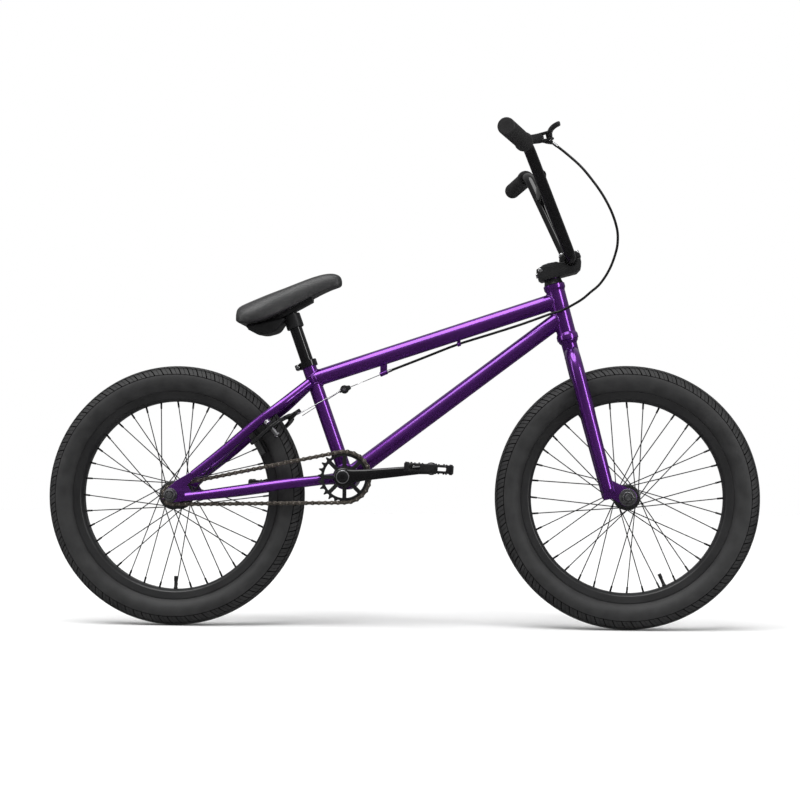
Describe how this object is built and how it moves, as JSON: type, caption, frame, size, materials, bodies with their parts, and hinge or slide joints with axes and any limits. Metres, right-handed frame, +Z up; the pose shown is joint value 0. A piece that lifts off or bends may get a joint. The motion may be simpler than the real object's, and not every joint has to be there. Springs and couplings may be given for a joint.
{
  "type": "bmx bicycle",
  "caption": "Freestyle bicycle with a mitred steel tube frame, straight fork, high-rise handlebar, padded saddle, platform pedals, single-speed chain drive and rear rim brake.",
  "frame": {"origin": "on the ground under the middle of the wheelbase, at the bottom centre of the bounding box", "axes": "+X points forwards, +Y to the rider's left, +Z up"},
  "size_m": [1.4254, 0.7208, 0.9574],
  "materials": {
    "purple_paint": "candy metallic gloss",
    "tyre_rubber": "matte",
    "butyl_rubber": "matte",
    "grip_rubber": "matte ribbed",
    "black_gloss": "gloss",
    "saddle_leather": "satin",
    "black_plastic": "satin",
    "cable_housing": "gloss",
    "bright_steel": "satin",
    "chain_steel": "dark oiled",
    "black_satin": "satin"
  },
  "bodies": {
    "frame": {"bb_bearing_left": "bright_steel", "bb_bearing_right": "bright_steel", "bb_shell": "purple_paint", "brake_housing": "cable_housing", "brake_wire": "bright_steel", "chain": "chain_steel", "chainstay_left": "purple_paint", "chainstay_right": "purple_paint", "down_tube": "purple_paint", "dropout_left": "purple_paint", "dropout_right": "purple_paint", "head_tube": "purple_paint", "headset_bearing_lower": "bright_steel", "headset_bearing_upper": "bright_steel", "rear_axle": "bright_steel", "rear_axle_nut_left": "black_satin", "rear_axle_nut_right": "black_satin", "seat_clamp": "black_gloss", "seat_tube": "purple_paint", "seatstay_left": "purple_paint", "seatstay_right": "purple_paint", "straddle_wire": "bright_steel", "top_tube": "purple_paint"},
    "seat": {"seatpost": "black_gloss", "saddle_cover": "saddle_leather", "saddle_base": "black_plastic"},
    "steering": {"fork": "purple_paint", "stem_body": "black_satin", "stem_cap": "black_satin", "handlebar": "black_gloss", "grip_right": "grip_rubber", "grip_left": "grip_rubber", "headset_dust_cap": "black_satin", "lever_clamp": "black_satin", "front_axle": "bright_steel", "front_axle_nut_right": "black_satin", "front_axle_nut_left": "black_satin"},
    "lever": {"brake_lever": "black_satin"},
    "front_wheel": {"front_hub": "black_satin", "front_rim": "black_satin", "front_tyre": "tyre_rubber", "front_inner_tube": "butyl_rubber"},
    "rear_wheel": {"rear_hub": "black_satin", "rear_rim": "black_satin", "rear_tyre": "tyre_rubber", "rear_inner_tube": "butyl_rubber"},
    "freewheel_driver": {"driver": "black_satin"},
    "cranks": {"sprocket": "black_satin", "crank_right": "black_gloss", "crank_left": "black_gloss", "crank_spindle": "bright_steel", "pedal_axle_right": "bright_steel", "pedal_axle_left": "bright_steel"},
    "right_pedal": {"pedal_right": "black_satin"},
    "left_pedal": {"pedal_left": "black_satin"},
    "right_brake_arm": {"brake_arm_right": "black_satin", "brake_pad_right": "butyl_rubber"},
    "left_brake_arm": {"brake_arm_left": "black_satin", "brake_pad_left": "butyl_rubber"},
    "hanger": {"cable_hanger": "bright_steel"}
  },
  "joints": [
    {"name": "steering_turn", "type": "hinge", "parent": "frame", "child": "steering", "pos_m": [0.41735, 0, 0.261], "axis": [-0.2504, 0, 0.9681], "range_deg": [-80, 80], "deforming": ["brake_housing"]},
    {"name": "front_wheel_spin", "type": "hinge", "parent": "steering", "child": "front_wheel", "pos_m": [0.45165, 0, 0.261], "axis": [0, 1, 0], "continuous": true},
    {"name": "rear_wheel_spin", "type": "hinge", "parent": "frame", "child": "rear_wheel", "pos_m": [-0.45165, 0, 0.261], "axis": [0, 1, 0], "continuous": true},
    {"name": "crank_spin", "type": "hinge", "parent": "frame", "child": "cranks", "pos_m": [-0.10565, 0, 0.2985], "axis": [0, 1, 0], "continuous": true},
    {"name": "driver_spin", "type": "hinge", "parent": "frame", "child": "freewheel_driver", "pos_m": [-0.45165, 0, 0.261], "axis": [0, 1, 0], "continuous": true},
    {"name": "right_pedal_spin", "type": "hinge", "parent": "cranks", "child": "right_pedal", "pos_m": [0.06852, -0.147, 0.31558], "axis": [0, 1, 0], "continuous": true},
    {"name": "left_pedal_spin", "type": "hinge", "parent": "cranks", "child": "left_pedal", "pos_m": [-0.27981, 0.147, 0.28142], "axis": [0, 1, 0], "continuous": true},
    {"name": "seat_height", "type": "slide", "parent": "frame", "child": "seat", "axis": [-0.3322, 0, 0.9432], "range_m": [-0.035, 0.05]},
    {"name": "brake_lever_pull", "type": "hinge", "parent": "steering", "child": "lever", "pos_m": [0.29705, -0.2, 0.9455], "axis": [0.2036, -0.0421, -0.9781], "range_deg": [0, 25], "stiffness_Nm_per_rad": 1.5, "springref_deg": -5.73, "deforming": ["brake_wire", "straddle_wire"]},
    {"name": "right_brake_pivot", "type": "hinge", "parent": "frame", "child": "right_brake_arm", "pos_m": [-0.26552, -0.0455, 0.41172], "axis": [0.6293, 0, -0.7771], "range_deg": [0, 2.5]},
    {"name": "left_brake_pivot", "type": "hinge", "parent": "frame", "child": "left_brake_arm", "pos_m": [-0.26552, 0.0455, 0.41172], "axis": [-0.6293, 0, 0.7771], "range_deg": [0, 2.5]},
    {"name": "hanger_pull", "type": "slide", "parent": "frame", "child": "hanger", "axis": [0.9248, 0, 0.3805], "range_m": [0, 0.006]}
  ],
  "couplings": [
    {"joint": "driver_spin", "follows": "crank_spin", "ratio": 2.7778},
    {"joint": "right_brake_pivot", "follows": "brake_lever_pull", "ratio": 0.1},
    {"joint": "left_brake_pivot", "follows": "brake_lever_pull", "ratio": 0.1},
    {"joint": "hanger_pull", "follows": "brake_lever_pull", "m_per_rad": 0.013741}
  ]
}
